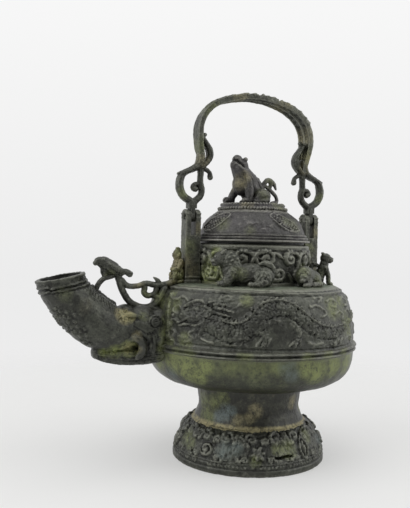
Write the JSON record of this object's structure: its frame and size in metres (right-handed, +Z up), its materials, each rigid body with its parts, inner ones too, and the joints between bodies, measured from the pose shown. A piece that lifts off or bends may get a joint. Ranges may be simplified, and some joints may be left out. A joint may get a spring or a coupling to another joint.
{
  "type": "bronze ritual kettle",
  "caption": "Footed bronze ritual kettle with a beast-head spout, lifting lid with a seated beast knob, figures round the collar and a scrolled bail handle hinged on posts.",
  "frame": {"origin": "on the surface the foot stands on, under the middle of the object's box", "axes": "+Z up, -X towards the spout, handle upright in the XZ plane, -Y towards the near side of the picture"},
  "size_m": [0.3158, 0.208, 0.356],
  "materials": {
    "bronze": "dark patinated cast bronze",
    "green_bronze": "yellow-green patinated cast bronze",
    "grey_bronze": "grey patinated cast bronze",
    "brown_bronze": "brown patinated cast bronze"
  },
  "bodies": {
    "kettle": {"foot_skirt": "bronze", "foot_stem": "bronze", "bowl": "green_bronze", "belly_band": "bronze", "shoulder": "bronze", "collar": "bronze", "spout_head": "bronze", "spout_tube": "bronze", "spout_branch": "bronze", "spout_bird": "bronze", "front_guardian": "brown_bronze", "front_post": "bronze", "rear_post": "bronze", "front_hinge_pin": "bronze", "rear_hinge_pin": "bronze", "near_lion": "bronze", "near_curled_beast": "bronze", "near_seated_beast": "bronze", "far_lion": "bronze", "far_curled_beast": "bronze", "far_seated_beast": "bronze"},
    "lid": {"lid_dome": "grey_bronze", "lid_flange": "grey_bronze", "lid_cap": "grey_bronze", "finial_beast": "grey_bronze"},
    "handle": {"handle_strap": "bronze", "front_handle_scroll": "bronze", "rear_handle_scroll": "bronze"}
  },
  "joints": [
    {"name": "lid_lift", "type": "slide", "parent": "kettle", "child": "lid", "axis": [0, 0, 1], "range_m": [0, 0.026]},
    {"name": "handle_swing", "type": "hinge", "parent": "kettle", "child": "handle", "pos_m": [0.05386, 0, 0.234], "axis": [1, 0, 0], "range_deg": [-90, 90]}
  ]
}
